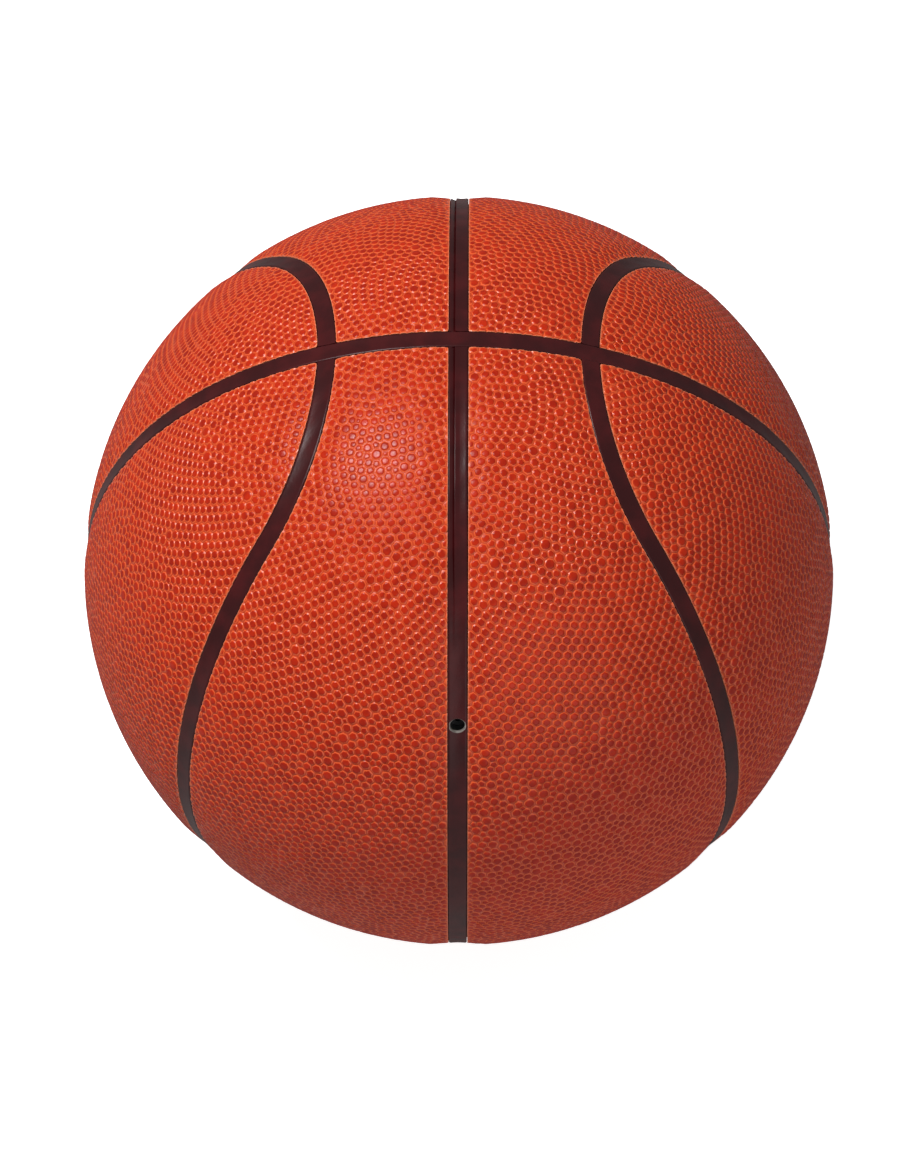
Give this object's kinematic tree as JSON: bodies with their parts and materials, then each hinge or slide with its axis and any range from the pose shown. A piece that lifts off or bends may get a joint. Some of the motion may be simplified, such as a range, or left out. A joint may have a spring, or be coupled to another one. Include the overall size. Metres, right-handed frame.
{
  "type": "basketball",
  "caption": "Inflated laminated basketball: pebbled composite cover panels, rubber seam strips, rubber carcass, wound thread layer, bladder and needle valve.",
  "frame": {"origin": "centre of the ball", "axes": "+Z through the upper crossing of the two great-circle seams, +X to the right through the middle of the side panels, -Y to the front, the side with the valve; the centre seam lies in the YZ plane and the cross seam in the XZ plane"},
  "size_m": [0.2406, 0.2404, 0.24],
  "materials": {
    "cover_leather": "pebbled orange-red composite leather, satin",
    "strip_rubber": "smooth maroon-black moulded rubber, satin",
    "foam_pad": "fine-celled sponge rubber",
    "carcass_rubber": "moulded rubber, matte",
    "wound_thread": "nylon thread wound in every direction and set in latex",
    "bladder_rubber": "butyl rubber, smooth",
    "valve_rubber": "soft black valve rubber, satin"
  },
  "bodies": {
    "root": {"centre_panel_front_right": "cover_leather", "side_panel_front_right": "cover_leather", "centre_pad_front_right": "foam_pad", "side_pad_front_right": "foam_pad", "curved_seam_strip_front_right": "strip_rubber", "centre_panel_front_left": "cover_leather", "side_panel_front_left": "cover_leather", "centre_pad_front_left": "foam_pad", "side_pad_front_left": "foam_pad", "curved_seam_strip_front_left": "strip_rubber", "centre_panel_rear_right": "cover_leather", "side_panel_rear_right": "cover_leather", "centre_pad_rear_right": "foam_pad", "side_pad_rear_right": "foam_pad", "curved_seam_strip_rear_right": "strip_rubber", "centre_panel_rear_left": "cover_leather", "side_panel_rear_left": "cover_leather", "centre_pad_rear_left": "foam_pad", "side_pad_rear_left": "foam_pad", "curved_seam_strip_rear_left": "strip_rubber", "cross_seam_strip": "strip_rubber", "centre_seam_strip_front": "strip_rubber", "centre_seam_strip_rear": "strip_rubber", "carcass": "carcass_rubber", "thread_winding": "wound_thread", "bladder": "bladder_rubber", "valve_housing": "valve_rubber", "valve_core": "valve_rubber"}
  },
  "joints": []
}
